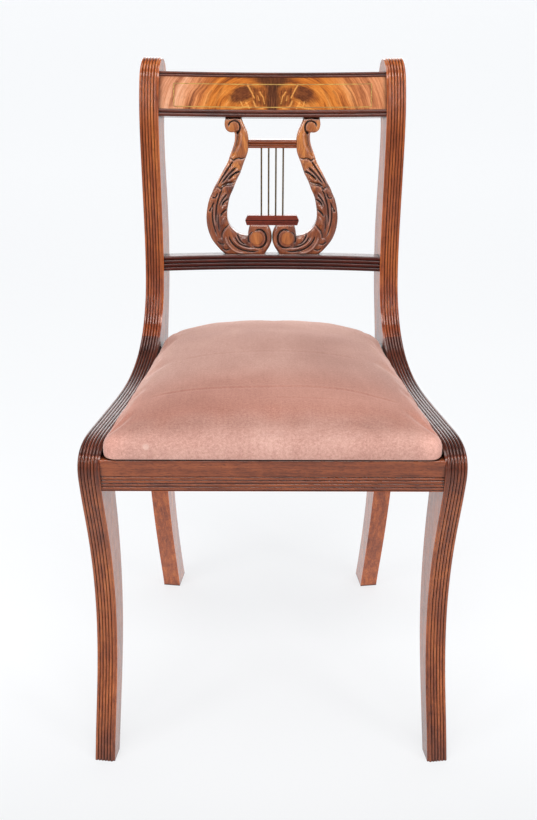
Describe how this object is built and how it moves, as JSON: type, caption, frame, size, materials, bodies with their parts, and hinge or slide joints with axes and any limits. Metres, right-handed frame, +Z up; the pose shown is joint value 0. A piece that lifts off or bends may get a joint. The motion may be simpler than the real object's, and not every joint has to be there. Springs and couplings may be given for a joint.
{
  "type": "lyre back dining chair",
  "caption": "Mahogany dining chair with reeded side frames, sabre legs, a lyre splat under a veneered crest rail, and a padded drop-in seat that lifts out.",
  "frame": {"origin": "on the floor, under the centre of the chair's bounding box", "axes": "+Z up, +Y towards the chair's back, +X to the right as seen from the front"},
  "size_m": [0.472, 0.4602, 0.8554],
  "materials": {
    "mahogany": "french polish, satin",
    "flame_veneer": "french polish, gloss",
    "boxwood": "french polish, gloss",
    "beech": "bare, sawn",
    "brass": "lightly tarnished",
    "steel": "dull",
    "webbing": "jute weave",
    "hair_stuffing": "curled hair under wadding",
    "velvet": "short pile velvet"
  },
  "bodies": {
    "chair_frame": {"back_stile_right": "mahogany", "back_stile_left": "mahogany", "side_rail_right": "mahogany", "side_rail_left": "mahogany", "front_leg_right": "mahogany", "front_leg_left": "mahogany", "knee_dowels": "beech", "front_seat_rail": "mahogany", "rear_seat_rail": "mahogany", "crest_rail": "mahogany", "crest_veneer_panel": "flame_veneer", "crest_veneer_border": "flame_veneer", "crest_stringing": "boxwood", "lower_back_rail": "mahogany", "lyre_arm_right": "mahogany", "lyre_arm_left": "mahogany", "lyre_crossbar": "mahogany", "lyre_bridge": "mahogany", "lyre_strings": "brass", "corner_block_front_right": "beech", "corner_block_front_left": "beech", "corner_block_rear_right": "beech", "corner_block_rear_left": "beech", "block_screws": "steel"},
    "drop_in_seat": {"seat_frame_front": "beech", "seat_frame_back": "beech", "seat_frame_right": "beech", "seat_frame_left": "beech", "webbing_lengthwise": "webbing", "webbing_crosswise": "webbing", "webbing_tacks": "steel", "hessian": "webbing", "seat_pad": "hair_stuffing", "seat_cover": "velvet", "cover_tacks": "steel"}
  },
  "joints": [
    {"name": "seat_lift", "type": "slide", "parent": "chair_frame", "child": "drop_in_seat", "axis": [0, 0, 1], "range_m": [0, 0.06]}
  ]
}
